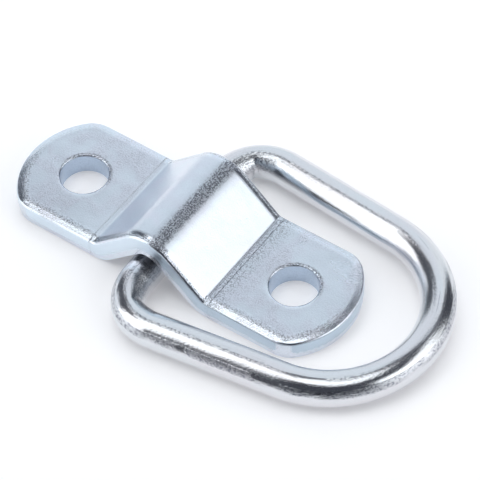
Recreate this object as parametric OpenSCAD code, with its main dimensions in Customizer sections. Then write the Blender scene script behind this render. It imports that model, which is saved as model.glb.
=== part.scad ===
// Bolt-on D-ring tie down: a bent steel strap with a raised saddle holds a swinging
// ring of round rod against the surface that the strap is bolted to.
// Origin: centre of the saddle on the mounting plane. X runs along the strap from hole
// to hole, Y along the ring's straight bar, Z up from the mounting plane.
// The ring is drawn lying flat over the strap's +X ear, as it rests.

/* [Strap] */

// Width of the strap across its flat ears
strap_width = 22.9; // [16:0.1:26]
// Thickness of the steel strap
strap_thickness = 4; // [2.5:0.1:6]
// Length of the strap from one rounded end to the other
strap_length = 67; // [56:0.5:110]
// Radius of the arc that closes each ear
ear_end_radius = 14.15; // [12:0.05:40]
// Radius of the corner between an ear's side and its end arc
ear_corner_radius = 5.45; // [1:0.05:9]

/* [Saddle] */

// Angle of the saddle's two slopes above the ears
slope_angle = 43; // [30:1:60]
// Height of the saddle's underside above the mounting plane at the crown
saddle_height = 8.3; // [7.5:0.1:14]
// Inner radius of the bend at the crown
crown_bend_radius = 2.7; // [1.5:0.1:5]
// Inner radius of the bend where a slope meets an ear
foot_bend_radius = 0.9; // [0.4:0.1:3]

/* [Bolt holes] */

// Distance between the two bolt holes, centre to centre
hole_spacing = 44.5; // [36:0.5:80]
// Diameter of each bolt hole
hole_diameter = 8.5; // [5:0.1:12]
// Radius of the rolled-over rim at the top of each hole
hole_rim_radius = 0.35; // [0.1:0.05:1]

/* [Cut edges] */

// Width of the rolled-over band along the strap's upper edges
edge_roll_width = 1.5; // [0.8:0.1:2.5]
// Depth of that band at the outer edge before it turns down
edge_roll_depth = 0.4; // [0.2:0.05:0.8]
// Radius where the band turns down into the cut wall
edge_turn_radius = 0.5; // [0.3:0.05:0.8]
// Inward lean of the cut wall's lower part, where the metal broke away
cut_wall_lean = 0.15; // [0:0.05:0.4]
// Height of that lower part above the underside
cut_wall_height = 1.9; // [0.5:0.1:2]

/* [Ring] */

// Diameter of the round rod
rod_diameter = 6.35; // [4:0.05:8]
// Width of the ring between rod centres, where the lines of bar and arms meet
ring_bar_width = 43.2; // [40:0.1:70]
// Length of the ring from the bar's centre to the centre of the rod at its far end
ring_length = 48.2; // [44:0.1:90]
// Angle by which each arm leans inwards
arm_lean = 6.3; // [2:0.1:12]
// Bend radius of the two corners, to the rod's centre
ring_corner_radius = 7.3; // [5:0.1:9]
// How much the rod's radius draws in where it is bent
bend_draw = 0.02; // [0.01:0.01:0.2]

/* [Resting place of the ring] */

// Shift of the bar along the strap, away from the saddle's middle
ring_shift = -1.3; // [-1.6:0.1:1.6]
// Turn of the ring on the mounting plane
ring_turn = 2; // [-4:0.5:4]

/* [Hidden] */

$fn = 72;
overlap = 1;
space = 1000;
half_width = strap_width / 2;
half_length = strap_length / 2;

// Rolled-over band: a wide arc from the top face, then a small arc down into the cut wall.
roll_radius = (edge_roll_width * edge_roll_width + edge_roll_depth * edge_roll_depth)
    / (2 * edge_roll_depth);
roll_center = strap_thickness - roll_radius;
turn_inset = edge_roll_width - edge_turn_radius;
turn_rise = sqrt(pow(roll_radius - edge_turn_radius, 2) - turn_inset * turn_inset);
turn_height = roll_center + turn_rise;

// Saddle: run and drop of its straight slopes, along the underside.
foot_outer_radius = foot_bend_radius + strap_thickness;
slope_drop = saddle_height - (crown_bend_radius + foot_outer_radius) * (1 - cos(slope_angle));
slope_length = slope_drop / sin(slope_angle);
foot_x = (crown_bend_radius + foot_outer_radius) * sin(slope_angle)
    + slope_length * cos(slope_angle);

// Ear outline: the end arc, and the small corner arcs tangent to it and to the sides.
ear_arc_x = half_length - ear_end_radius;
corner_y = half_width - ear_corner_radius;
corner_x = ear_arc_x + sqrt(pow(ear_end_radius - ear_corner_radius, 2) - corner_y * corner_y);
corner_angle = atan2(corner_y, corner_x - ear_arc_x);

// Ring: the corner arcs touch the bar and the arms, the end arc touches both arms.
rod_radius = rod_diameter / 2;
half_bar = ring_bar_width / 2;
corner_turn = 90 + arm_lean;
corner_reach = ring_corner_radius * tan(corner_turn / 2);
end_radius = (half_bar * cos(arm_lean) - ring_length * sin(arm_lean)) / (1 - sin(arm_lean));
arm_length = half_bar * sin(arm_lean) + (ring_length - end_radius) * cos(arm_lean) - corner_reach;

strap_color = [0.78, 0.82, 0.86];
rod_color = [0.74, 0.78, 0.83];

// The half of space ahead of the current frame, and the half behind it.
module ahead() {
    translate([0, -space / 2, -space / 2])
        cube(space);
}

module behind() {
    mirror([1, 0, 0])
        ahead();
}

// Two mirrored halves of the children, meeting at x = 0.
module both_halves() {
    for (side = [0, 1])
        mirror([side, 0, 0])
            intersection() {
                children();
                ahead();
            }
}

// The strap's cross-section at one cut edge: x is the height above the underside and y is
// 0 at the cut wall, with the metal reaching the given depth behind it.
module edge_section(depth) {
    polygon([
        [0, -depth],
        [turn_height, -depth],
        [turn_height, 0],
        [cut_wall_height, 0],
        [0, -cut_wall_lean]
    ]);
    translate([0, -depth])
        square([strap_thickness, depth - edge_roll_width]);
    translate([turn_height, -edge_turn_radius])
        circle(r = edge_turn_radius);
    translate([roll_center, -edge_roll_width])
        intersection() {
            circle(r = roll_radius);
            polygon([
                [0, 0],
                [roll_radius + overlap, 0],
                [roll_radius + overlap, turn_inset * (roll_radius + overlap) / turn_rise],
                [turn_rise, turn_inset]
            ]);
        }
}

module strap_section() {
    for (side = [0, 1])
        mirror([0, side])
            translate([0, half_width])
                edge_section(half_width);
}

// A straight length of strap along x on z = 0. Its children follow at its end.
module strap_run(run) {
    rotate([0, -90, 0])
        mirror([0, 0, 1])
            linear_extrude(height = run)
                strap_section();
    translate([run, 0, 0])
        children();
}

// The strap's section swept about y, all the way round, around the current frame.
module strap_hoop(underside_radius, inward) {
    rotate([-90, 0, 0])
        rotate_extrude()
            translate([underside_radius, 0])
                mirror([inward, 0])
                    strap_section();
}

// A bend of the strap that turns up. Its children follow at its end.
module bend_up(turn) {
    translate([0, 0, foot_outer_radius]) {
        intersection() {
            strap_hoop(foot_outer_radius, 1);
            ahead();
            rotate([0, -turn, 0])
                behind();
        }
        rotate([0, -turn, 0])
            translate([0, 0, -foot_outer_radius])
                children();
    }
}

// The bend at the crown, from the current frame on.
module crown_bend() {
    translate([0, 0, -crown_bend_radius])
        intersection() {
            strap_hoop(crown_bend_radius, 0);
            ahead();
        }
}

// A disc of strap with its rolled rim.
module ear_disc(radius) {
    rotate_extrude()
        mirror([1, -1])
            translate([0, radius])
                edge_section(radius);
}

// The plane through the centres of the corner arc and the end arc.
module ear_joint() {
    translate([0, corner_y, 0])
        rotate([0, 0, corner_angle])
            rotate([0, 0, 90])
                children();
}

// One side of an ear's end: the corner arc from the strap's side, then half of the end arc.
module ear_end_side() {
    intersection() {
        translate([0, corner_y, 0])
            ear_disc(ear_corner_radius);
        ahead();
        ear_joint()
            ahead();
    }
    intersection() {
        translate([ear_arc_x - corner_x, 0, 0])
            ear_disc(ear_end_radius);
        ear_joint()
            behind();
    }
}

module ear_end() {
    rotate([0, 0, 90])
        both_halves()
            rotate([0, 0, -90])
                ear_end_side();
}

module bolt_hole() {
    hole_radius = hole_diameter / 2;
    rotate_extrude() {
        translate([0, -overlap])
            square([hole_radius, strap_thickness + 2 * overlap]);
        translate([hole_radius, strap_thickness])
            difference() {
                translate([-overlap, -hole_rim_radius])
                    square([hole_rim_radius + overlap, hole_rim_radius + overlap]);
                translate([hole_rim_radius, -hole_rim_radius])
                    circle(r = hole_rim_radius);
            }
    }
}

// Strap bracket: two flat ears with a bolt hole each, and the raised saddle between them.
module strap() {
    color(strap_color)
        difference() {
            both_halves()
                translate([foot_x, 0, 0]) {
                    strap_run(corner_x - foot_x)
                        ear_end();
                    mirror([1, 0, 0])
                        bend_up(slope_angle)
                            strap_run(slope_length)
                                crown_bend();
                }
            for (side = [-1, 1])
                translate([side * hole_spacing / 2, 0, 0])
                    bolt_hole();
        }
}

// A straight length of rod along x. Its children follow at its end.
module rod_run(run) {
    rotate([0, 90, 0])
        cylinder(r = rod_radius, h = run);
    translate([run, 0, 0])
        children();
}

// Rod bent into a full circle about z, a little thinner than where it is straight.
module rod_hoop(bend_radius) {
    rotate_extrude()
        translate([bend_radius, 0])
            circle(r = rod_radius - bend_draw);
}

// A bend of the rod towards -y. Its children follow at its end.
module rod_bend(bend_radius, turn) {
    translate([0, -bend_radius, 0]) {
        intersection() {
            rod_hoop(bend_radius);
            ahead();
            rotate([0, 0, -turn])
                behind();
        }
        rotate([0, 0, -turn])
            translate([0, bend_radius, 0])
                children();
    }
}

// Ring, all one rod: from the middle of its round end through a leaning arm and a corner
// to the middle of its straight bar, and the same mirrored.
module ring() {
    color(rod_color)
        translate([ring_shift, 0, rod_radius])
            rotate([0, 0, ring_turn - 90])
                translate([0, ring_length, 0])
                    both_halves()
                        rod_bend(end_radius, 90 - arm_lean)
                            rod_run(arm_length)
                                rod_bend(ring_corner_radius, corner_turn)
                                    rod_run(half_bar - corner_reach + overlap);
}

strap();
ring();
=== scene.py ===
import math

import bpy
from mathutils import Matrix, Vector, noise


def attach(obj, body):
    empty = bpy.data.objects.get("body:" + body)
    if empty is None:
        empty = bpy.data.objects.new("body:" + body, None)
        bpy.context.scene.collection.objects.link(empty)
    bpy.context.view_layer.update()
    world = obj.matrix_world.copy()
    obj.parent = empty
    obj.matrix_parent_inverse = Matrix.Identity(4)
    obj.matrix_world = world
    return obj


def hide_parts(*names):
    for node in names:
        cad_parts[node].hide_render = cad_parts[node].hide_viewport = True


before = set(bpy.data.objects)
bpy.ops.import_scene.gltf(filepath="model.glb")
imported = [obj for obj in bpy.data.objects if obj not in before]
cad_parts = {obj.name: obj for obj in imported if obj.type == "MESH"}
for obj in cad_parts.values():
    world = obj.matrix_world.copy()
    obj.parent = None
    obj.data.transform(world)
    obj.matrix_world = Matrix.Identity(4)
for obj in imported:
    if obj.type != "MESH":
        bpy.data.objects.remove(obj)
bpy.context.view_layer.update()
mm = 0.001


class Wire:
    # One output of a shader node. Arithmetic on values adds Math nodes.
    def __init__(self, tree, socket=None):
        self.tree = tree
        self.socket = socket

    def node(self, kind, settings=None, inputs=None, output=0):
        made = self.tree.nodes.new(kind)
        for name, value in (settings or {}).items():
            setattr(made, name, value)
        for name, value in (inputs or {}).items():
            target = made.inputs[name]
            if isinstance(value, Wire):
                self.tree.links.new(value.socket, target)
            else:
                target.default_value = value
        return Wire(self.tree, made.outputs[output] if made.outputs else None)

    def math(self, operation, *values):
        return self.node("ShaderNodeMath", {"operation": operation}, dict(enumerate(values)))

    def __add__(self, other):
        return self.math("ADD", self, other)

    __radd__ = __add__

    def __sub__(self, other):
        return self.math("SUBTRACT", self, other)

    def __rsub__(self, other):
        return self.math("SUBTRACT", other, self)

    def __mul__(self, other):
        return self.math("MULTIPLY", self, other)

    __rmul__ = __mul__

    def absolute(self):
        return self.math("ABSOLUTE", self)

    def root(self):
        return self.math("SQRT", self)

    def smaller(self, other):
        return self.math("MINIMUM", self, other)

    def larger(self, other):
        return self.math("MAXIMUM", self, other)

    # 0 below low, 1 above high, and a smooth change between them
    def step(self, low, high):
        settings = {"interpolation_type": "SMOOTHSTEP", "clamp": True}
        if low > high:
            return 1 - self.step(high, low)
        return self.node("ShaderNodeMapRange", settings, {"Value": self, "From Min": low, "From Max": high})

    # 0 before start and after end, 1 between full and fading
    def within(self, start, full, fading, end):
        return self.step(end, fading) * self.step(start, full)

    # 1 up to full away from the middle, and 0 beyond half
    def near(self, middle, half, full):
        return (self - middle).absolute().step(half, full)

    # inputs 0, 6 and 7 are the factor and the two colours, output 2 the mixed colour
    def blend(self, first, second):
        settings = {"data_type": "RGBA", "blend_type": "MIX"}
        return self.node("ShaderNodeMix", settings, {0: self, 6: first, 7: second}, 2)

    def axes(self):
        return [self.node("ShaderNodeSeparateXYZ", None, {0: self}, axis) for axis in range(3)]

    def stretched(self, x, y, z):
        return self.node("ShaderNodeVectorMath", {"operation": "MULTIPLY"}, {0: self, 1: (x, y, z)})

    # noise with features of about 1 / scale, in the unit of the place
    def grain(self, scale, detail, roughness, distortion=0.0):
        return self.node("ShaderNodeTexNoise", None, {
            "Vector": self, "Scale": scale, "Detail": detail,
            "Roughness": roughness, "Distortion": distortion,
        })

    def bump(self, height, distance):
        return self.node("ShaderNodeBump", None, {"Height": height, "Distance": distance})


def newMaterial(name):
    material = bpy.data.materials.new(name)
    material.use_nodes = True
    material.node_tree.nodes.clear()
    return material, Wire(material.node_tree)


def closeMaterial(shader, surface):
    shader.node("ShaderNodeOutputMaterial", None, {"Surface": surface})


def metal(shader, colour, rough, height):
    return shader.node("ShaderNodeBsdfPrincipled", None, {
        "Base Color": colour, "Metallic": 1.0, "Roughness": rough, "Normal": shader.bump(height, mm),
    })


# Where the camera stands: its angles, and its distance and sideways shift in millimetres.
camera = {
    "azimuth": 38.53,
    "elevation": 50.59,
    "roll": -3.81,
    "distance": 494.91,
    "right": 8.80,
    "up": 0.63,
    "lens": 216.0,
}


def makeCamera(sizes):
    azimuth, elevation, roll = (math.radians(sizes[name]) for name in ("azimuth", "elevation", "roll"))
    back = Vector((math.sin(azimuth) * math.cos(elevation), -math.cos(azimuth) * math.cos(elevation),
                   math.sin(elevation)))
    level = Vector((math.cos(azimuth), math.sin(azimuth), 0))
    above = back.cross(level)
    right = math.cos(roll) * level + math.sin(roll) * above
    up = math.cos(roll) * above - math.sin(roll) * level
    data = bpy.data.cameras.new("camera")
    data.lens = sizes["lens"]
    data.sensor_width = 36
    data.clip_start = 0.01
    item = bpy.data.objects.new("camera", data)
    bpy.context.scene.collection.objects.link(item)
    turn = item.matrix_world.to_3x3()
    for column, axis in enumerate((right, up, back)):
        turn.col[column] = axis
    item.matrix_world = turn.to_4x4()
    item.location = mm * (sizes["distance"] * back + sizes["right"] * right + sizes["up"] * up)
    bpy.context.scene.camera = item


makeCamera(camera)
print("camera placed")

# The strap's finish, and the sizes that it follows, in millimetres. A band has four distances:
# where it starts, is full, starts to fade and ends. A fade has two: where it ends and is full.
strap = {
    "halfWidth": 11.45,
    "endArcX": 19.35,
    "endRadius": 14.15,
    "holeX": 22.25,
    "holeRadius": 4.25,
    "footX": 12.3,
    "bendX": 1.9,
    "flatFade": (11.2, 12.2),
    "wallFade": (0.09, 0.03),
    "boreFade": (0.05, 0.01),
    # bands from the cut edge and the hole, for gloss, deeper grain and painted dark reflections
    "edgeBand": (0.7, 1.3, 1.7, 2.5),
    "slopeEdgeBand": (0.25, 0.4, 0.6, 0.9),
    "rimFade": (1.0, 0.4),
    "rimBand": (0.25, 0.4, 0.6, 0.8),
    "rolledFade": (1.5, 1.1),
    "rolledRimFade": (0.5, 0.3),
    "footFade": (4.4, 0.2),
    "bendFade": (1.7, 0.5),
    # the two fine creases at the foot of the right slope, dented and drawn with painted shade
    "creaseX": 12.55,
    "creaseWidth": 0.14,
    "creaseGap": 0.75,
    "creaseDepth": 0.06,
    # colours
    "colour": (0.70, 0.765, 0.83, 1),
    "blush": (0.71, 0.745, 0.82, 1),
    # dark colour of the speckles, also used for painted shade and painted dark reflections
    "shade": (0.17, 0.18, 0.21, 1),
    "wallColour": (0.67, 0.77, 0.855, 1),
    "wallPaintedShade": (0.46, 0.56, 0.65, 1),
    "holePaintedShade": (0.46, 0.56, 0.69, 1),
    "dotCover": (0.51, 0.41),
    "mottling": 0.55,
    # gloss, and depths of the surface
    "roughness": 0.285,
    "rolledGloss": 0.09,
    "grainDepth": 0.075,
    "waveDepth": 0.12,
    "streakDepth": 0.020,
    "rimDip": 0.11,
    "edgeDip": 0.14,
}


def makeStrapZinc(look):
    material, shader = newMaterial("strap zinc")
    place = shader.node("ShaderNodeTexCoord", output="Object").stretched(1 / mm, 1 / mm, 1 / mm)
    x, y = place.axes()[:2]
    across, along = y.absolute(), x.absolute()

    # distances from the cut edge and the hole
    alongEar = along - look["endArcX"]
    fromEnd = look["endRadius"] - (alongEar * alongEar + y * y).root()
    beforeEnd = 1 - along.step(look["endArcX"] - 1, look["endArcX"])
    fromEdge = (look["halfWidth"] - across).smaller(fromEnd + beforeEnd * 50)
    holeAlong = along - look["holeX"]
    fromHole = (holeAlong * holeAlong + y * y).root() - look["holeRadius"]

    # where it is flat, cut or rolled over
    onFlat = along.step(*look["flatFade"])
    wall = fromEdge.step(*look["wallFade"]).larger(fromHole.step(*look["boreFade"]))
    rolled = fromEdge.step(*look["rolledFade"]).larger(fromHole.step(*look["rolledRimFade"]))

    # deeper grain and painted dark reflections along the edges and at the holes, most of them on the near
    # side and at the holes' far side
    nearSide = y.step(3.0, -3.0) * 0.85 + 0.15
    edge = fromEdge.within(*look["edgeBand"]) * nearSide * onFlat
    slopeEdge = fromEdge.within(*look["slopeEdgeBand"]) * (1 - onFlat)
    rim = fromHole.step(*look["rimFade"]) * y.step(-1.5, 2.5)
    rimPaintedShadeLine = fromHole.within(*look["rimBand"]) * y.step(0.0, 2.0)
    foot = (x - look["footX"]).step(*look["footFade"]) * x.step(*look["flatFade"])
    bend = x.near(look["bendX"], *look["bendFade"])
    crease = along.near(look["creaseX"], look["creaseWidth"], 0.0)
    second = x.near(look["creaseX"] - look["creaseGap"], look["creaseWidth"], 0.03)
    lines = (crease * x.step(0.0, 1.0)).larger(second) * fromEdge.step(0.5, 1.2)

    fine = place.grain(3.8, 2, 0.6)
    coarse = place.grain(0.16, 2, 0.5)
    patch = place.grain(0.20, 2, 0.5, 0.4)
    streaks = place.stretched(0.10, 1, 2.4).grain(1.7, 3, 0.6)
    mottled = patch.step(0.40, 0.75) * look["mottling"] * onFlat
    worn = edge.larger(rim).larger(slopeEdge).larger(foot * 0.8).larger(bend).larger(mottled)
    # painted shade and dark reflections on the speckles at the foot, over the crown's bend, along the edges
    # and at the far rims, with random mottling
    dark = (foot * 0.75).larger(bend).larger(mottled * 0.5)
    dark = dark.larger(edge * 0.8).larger(rim * 0.8).larger(slopeEdge * 0.7)
    dots = (fine - bend * 0.05).step(*look["dotCover"])
    # painted shade on the left ear's lower left, where it mirrors a darker part of the studio
    lowerLeftPaintedShade = x.step(-13.0, -20.0) * y.step(5.0, -7.0)
    # painted shade in the foot creases, in a line at the holes' far rims and over the crown's bend
    paintedShade = lines * 0.4 + lowerLeftPaintedShade * 0.10 + rimPaintedShadeLine * 0.3 + bend * 0.32

    colour = patch.step(0.35, 0.65).blend(look["colour"], look["blush"])
    colour = (dots * (0.05 + dark * 0.8) + paintedShade).blend(colour, look["shade"])
    # cut walls: towards the right, painted reflected shade; inside the holes, painted shade
    cut = x.step(-6.0, 10.0).blend(look["wallColour"], look["wallPaintedShade"])
    cut = fromHole.step(0.3, 0.1).blend(cut, look["holePaintedShade"])
    colour = (wall * 0.85).blend(colour, cut)
    rough = look["roughness"] + (coarse - 0.5) * 0.06 + wall * 0.10 - rolled * look["rolledGloss"]

    depth = (1 - wall) * (0.4 + worn * 1.1)
    height = fine * depth * look["grainDepth"] + coarse * look["waveDepth"]
    height = height + streaks * wall * look["streakDepth"]
    towardHole = 1 - fromHole.larger(0.0).smaller(1.0)
    height = height - towardHole * towardHole * look["rimDip"] - fromEdge.step(1.9, 0.5) * look["edgeDip"]
    height = height - crease * look["creaseDepth"]
    closeMaterial(shader, metal(shader, colour, rough, height))
    return material


# The ring: the rod's path in millimetres and degrees, its mesh and its finish. Places on the
# rod are the way along it from the middle of its bar, inwards and up from its centre.
ring = {
    "shift": -1.3,
    "turn": 2.0,
    "rodRadius": 3.175,
    "drawnIn": 0.015,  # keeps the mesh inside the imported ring's box
    "bendDraw": 0.02,
    "halfBar": 21.6,
    "length": 48.2,
    "lean": 6.3,
    "cornerRadius": 7.3,
    "step": 0.4,
    "facesAround": 64,
    # shallow dents, and the folds inside the corners: place along the corner, depth, width
    "dentDepth": 0.03,
    "foldDepth": 1.25,
    "foldReach": 1.3,
    "creases": [(-2.4, 0.07, 0.5), (1.7, 0.09, 0.45), (3.1, 0.06, 0.5)],
    # places with rougher, deeper grain and painted shade, bands and fades as on the strap
    "middle": 76.35,
    "shoulderBand": (0.8, 1.2, 2.1, 2.3),
    "cornerFade": (50.5, 53.5),
    "topLineBand": (0.10, 0.30, 0.7, 1.0),
    "topLineFade": (8.0, 18.0),
    # colours
    "colour": (0.675, 0.70, 0.725, 1),
    "blush": (0.685, 0.68, 0.705, 1),
    # dark colour of the specks and draw marks, also used for painted shade and painted dark reflections
    "shade": (0.22, 0.23, 0.27, 1),
    "dotCover": (0.50, 0.40),
    "scratchCover": (0.36, 0.31),
    # gloss, and depths of the surface
    "roughness": 0.17,
    "rubbedRoughness": 0.115,
    "grainDepth": 0.06,
    "markDepth": 0.02,
    "waveDepth": 0.14,
}


def ringPath(sizes):
    # Steps along the rod's centre from the middle of the bar, towards +Y: x, y, heading, distance
    # run, how far into a bend (0 to 1), and in a corner the place from its middle.
    lean = math.radians(sizes["lean"])
    cornerTurn = math.pi / 2 + lean
    reach = sizes["cornerRadius"] * math.tan(cornerTurn / 2)
    endRadius = (sizes["halfBar"] * math.cos(lean) - sizes["length"] * math.sin(lean)) / (1 - math.sin(lean))
    arm = sizes["halfBar"] * math.sin(lean) + (sizes["length"] - endRadius) * math.cos(lean) - reach
    corner = (sizes["cornerRadius"] * cornerTurn, sizes["cornerRadius"], True)
    runs = [(sizes["halfBar"] - reach, None, False), corner, (arm, None, False),
            (endRadius * (math.pi - 2 * lean), endRadius, False),
            (arm, None, False), corner, (sizes["halfBar"] - reach, None, False)]
    x, y, heading, done = 0.0, 0.0, math.pi / 2, 0.0
    steps = []
    for length, radius, isCorner in runs:
        count = round(length / sizes["step"])
        for number in range(count):
            part = length * number / count
            turned = part / radius if radius else 0.0
            chord = 2 * radius * math.sin(turned / 2) if radius else part
            way = heading - turned / 2
            nearBend = 0.0 if radius is None else min(1.0, part, length - part)
            steps.append((x + chord * math.cos(way), y + chord * math.sin(way), heading - turned,
                          done + part, nearBend, part - length / 2 if isCorner else None))
        turned = length / radius if radius else 0.0
        chord = 2 * radius * math.sin(turned / 2) if radius else length
        way = heading - turned / 2
        x, y = x + chord * math.cos(way), y + chord * math.sin(way)
        heading, done = heading - turned, done + length
    return steps, done


def makeRing(sizes):
    steps, total = ringPath(sizes)
    around = sizes["facesAround"]
    turn = math.radians(sizes["turn"])
    points = []
    for x, y, heading, run, bent, cornerPlace in steps:
        inward = (math.sin(heading), -math.cos(heading))
        for number in range(around):
            angle = 2 * math.pi * number / around
            inner = max(0.0, math.cos(angle))  # 1 on the ring's inner side
            spot = Vector((run * 0.12, 1.1 * math.cos(angle), 1.1 * math.sin(angle)))
            radius = sizes["rodRadius"] - sizes["drawnIn"] - sizes["bendDraw"] * bent
            radius -= sizes["dentDepth"] * max(0.0, noise.noise(spot)) * (0.3 + bent)
            if cornerPlace is not None:
                wander = 0.5 * noise.noise(Vector((math.sin(angle) * 1.6, 7.3, run * 0.02)))
                radius -= sizes["foldDepth"] * inner ** 1.6 * math.exp(-abs(cornerPlace) / sizes["foldReach"])
                for place, depth, width in sizes["creases"]:
                    radius -= depth * inner ** 1.5 * math.exp(-((cornerPlace - place - wander) / width) ** 2)
            out = radius * math.cos(angle)
            px, py = x + out * inward[0], y + out * inward[1]
            points.append((mm * (px * math.cos(turn) - py * math.sin(turn) + sizes["shift"]),
                           mm * (px * math.sin(turn) + py * math.cos(turn)),
                           mm * (sizes["rodRadius"] + radius * math.sin(angle))))
    count = len(steps)
    faces = []
    rodPlace = []
    runs = [step[3] for step in steps] + [total]
    for number in range(count):
        after = (number + 1) % count
        for side in range(around):
            beyond = (side + 1) % around
            faces.append((number * around + side, after * around + side,
                          after * around + beyond, number * around + beyond))
            ends = ((number, side), (number + 1, side), (number + 1, side + 1), (number, side + 1))
            for run, corner in ends:
                angle = 2 * math.pi * corner / around
                inwards, up = math.cos(angle), math.sin(angle)
                rodPlace += [runs[run], sizes["rodRadius"] * inwards, sizes["rodRadius"] * up]
    mesh = bpy.data.meshes.new("ring rod")
    mesh.from_pydata(points, [], faces)
    mesh.attributes.new("rodPlace", "FLOAT_VECTOR", "CORNER").data.foreach_set("vector", rodPlace)
    mesh.polygons.foreach_set("use_smooth", [True] * len(faces))
    mesh.update()
    piece = bpy.data.objects.new("ring_rod", mesh)
    bpy.context.scene.collection.objects.link(piece)
    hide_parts("ring")
    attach(piece, "ring")
    return piece


def makeRingZinc(look):
    material, shader = newMaterial("ring zinc")
    rod = shader.node("ShaderNodeAttribute", {"attribute_name": "rodPlace"}, output="Vector")
    along, inwards, above = rod.axes()
    fine = rod.stretched(0.7, 1, 1).grain(3.4, 2, 0.6)
    marks = rod.stretched(0.035, 1, 1).grain(2.2, 3, 0.6)
    wave = rod.stretched(0.06, 0.3, 0.3).grain(1.0, 2, 0.5)
    patch = rod.stretched(0.12, 0.4, 0.4).grain(0.8, 2, 0.55, 0.3)

    # painted shade and dark reflections, with rougher, deeper grain: along the outer shoulder, inside the two
    # corners, and in a fine line along the top of both arms on their -Y side
    fromMiddle = (along - look["middle"]).absolute()
    shoulder = above.within(*look["shoulderBand"]) * inwards.step(0.0, -0.4)
    corner = fromMiddle.step(*look["cornerFade"]) * inwards.step(0.6, 1.6) * above.step(0.6, 1.2)
    towardsNear = inwards * (along.step(80.0, 72.0) * 2 - 1)
    topLine = towardsNear.within(*look["topLineBand"]) * above.step(1.5, 2.5)
    topLine = topLine * fromMiddle.step(*look["topLineFade"])
    rubbedAndPaintedShade = (shoulder * patch.step(0.38, 0.50)).larger(corner * 0.8)
    rubbedAndPaintedShade = rubbedAndPaintedShade.larger(topLine * patch.step(0.36, 0.46) * 0.9)
    # painted dark reflection along the outer shoulder
    band = shoulder * patch.step(0.36, 0.48) * 0.30
    dots = fine.step(*look["dotCover"])
    scratch = marks.step(*look["scratchCover"])

    colour = wave.step(0.35, 0.65).blend(look["colour"], look["blush"])
    marksAndPaintedShade = dots * (0.03 + rubbedAndPaintedShade * 0.60) + scratch * 0.25 + band
    colour = marksAndPaintedShade.smaller(0.95).blend(colour, look["shade"])
    rough = look["roughness"] + rubbedAndPaintedShade * look["rubbedRoughness"]
    height = fine * (0.35 + rubbedAndPaintedShade * 1.1) * look["grainDepth"]
    height = height + marks * look["markDepth"] + wave * look["waveDepth"]
    closeMaterial(shader, metal(shader, colour, rough, height))
    return material


def dress(item, material):
    item.data.materials.clear()
    item.data.materials.append(material)


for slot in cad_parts["strap"].material_slots:
    slot.material = makeStrapZinc(strap)
dress(makeRing(ring), makeRingZinc(ring))
print("strap and ring made")

# The studio: a pale tent round a dark opening for the camera. Directions in degrees, 0 along +X.
studio = {
    "floorSize": 3.0,
    "floorColour": (0.94, 0.94, 0.95, 1),
    "floorGlow": 0.17,
    "floorMirrored": 0.27,
    "overhead": (1.6, 1.63, 1.67),
    "lowLight": 0.7,
    "dark": (0.06, 0.063, 0.08),
    "zenith": (69, 76),
    "lamp": ("top lamp", 100, 82, 1.0, 1.2, 3.2),
    "panels": [
        # name, middle, half width, lowest, highest, edge, colour
        ("far backdrop", 121, 38, -90, 59, 3, (0.93, 1.0, 1.075)),
        ("far backdrop, near the lamp", 93, 7, -90, 45, 6, (1.0, 1.03, 1.07)),
        ("dark gap, high", 64, 12, 44, 56, 5, (0.25, 0.26, 0.29)),
        ("right screen", 44, 8, -90, 32, 3, (0.98, 1.01, 1.03)),
        ("right lamp", 11, 27, -90, 48, 3, (1.75, 1.79, 1.83)),
        ("right lamp, high", 40, 13, 33, 53, 4, (1.5, 1.53, 1.56)),
        ("left corner", 171, 14, 10, 60, 3, (0.10, 0.11, 0.13)),
        ("left corner, high", 158, 15, 46, 60, 2, (0.10, 0.11, 0.13)),
        ("left corner, low", 171, 12, -90, 5, 6, (0.75, 0.87, 0.96)),
        ("left wall", -170, 12, -90, 24, 5, (0.98, 1.06, 1.13)),
        ("left lamp", -136, 24, -90, 70, 2, (1.75, 1.79, 1.83)),
        ("skylight", -168, 34, 61, 80, 2, (1.75, 1.77, 1.8)),
    ],
}


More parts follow.
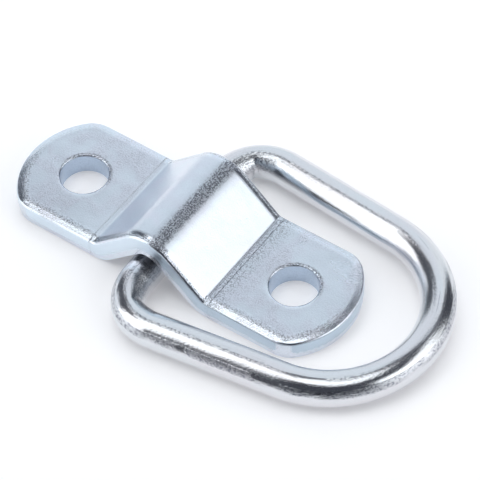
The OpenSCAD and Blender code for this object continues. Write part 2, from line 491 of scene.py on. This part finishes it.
def makeFloor(look):
    half = look["floorSize"] / 2
    corners = [(-half, -half, 0), (half, -half, 0), (half, half, 0), (-half, half, 0)]
    mesh = bpy.data.meshes.new("floor")
    mesh.from_pydata(corners, [], [(0, 1, 2, 3)])
    item = bpy.data.objects.new("floor", mesh)
    item.location.z = -0.02 * mm
    bpy.context.scene.collection.objects.link(item)
    material, shader = newMaterial("floor")
    seen = shader.node("ShaderNodeLightPath", output="Is Camera Ray")
    mirrored = shader.node("ShaderNodeLightPath", output="Is Glossy Ray")
    strength = seen * look["floorGlow"] + mirrored * look["floorMirrored"]
    glow = shader.node("ShaderNodeEmission", None, {"Color": look["floorColour"], "Strength": strength})
    cloth = shader.node("ShaderNodeBsdfDiffuse", None, {"Color": look["floorColour"]})
    closeMaterial(shader, shader.node("ShaderNodeAddShader", None, {0: cloth, 1: glow}))
    mesh.materials.append(material)


def makeSky(look):
    world = bpy.data.worlds.new("studio")
    bpy.context.scene.world = world
    world.use_nodes = True
    world.node_tree.nodes.clear()
    sky = Wire(world.node_tree)
    x, y, z = sky.node("ShaderNodeTexCoord", output="Generated").axes()
    turn = sky.math("ARCTAN2", y, x) * (180 / math.pi)
    rise = sky.math("ARCSINE", z) * (180 / math.pi)
    colour = rise.step(*look["zenith"]).blend((*look["dark"], 1), (*look["overhead"], 1))
    for name, middle, half, low, high, edge, tone in look["panels"]:
        off = sky.math("WRAP", turn - middle, -180.0, 180.0).absolute()
        upright = rise.within(low - edge, low + edge, high - edge, high + edge)
        colour = (off.step(half + edge, half - edge) * upright).blend(colour, (*tone, 1))
    # little light comes to the floor from low down, so it stays dark under the saddle
    diffuse = sky.node("ShaderNodeLightPath", output="Is Diffuse Ray")
    strength = 1 - diffuse * rise.step(35, 5) * look["lowLight"]
    glow = sky.node("ShaderNodeBackground", None, {"Color": colour, "Strength": strength})
    sky.node("ShaderNodeOutputWorld", None, {"Surface": glow})


makeFloor(studio)
makeSky(studio)


# a soft lamp, in degrees, metres and watts, that the metal doesn't mirror
def makeLamp(name, azimuth, elevation, distance, size, power):
    data = bpy.data.lights.new(name, "AREA")
    data.shape = "SQUARE"
    data.size = size
    data.energy = power
    item = bpy.data.objects.new(name, data)
    azimuth, elevation = math.radians(azimuth), math.radians(elevation)
    way = Vector((math.cos(azimuth) * math.cos(elevation), math.sin(azimuth) * math.cos(elevation),
                  math.sin(elevation)))
    item.location = distance * way
    item.rotation_euler = way.to_track_quat("Z", "Y").to_euler()
    item.visible_glossy = False
    bpy.context.scene.collection.objects.link(item)


makeLamp(*studio["lamp"])
bpy.context.scene.view_settings.view_transform = "Standard"
print("studio made")
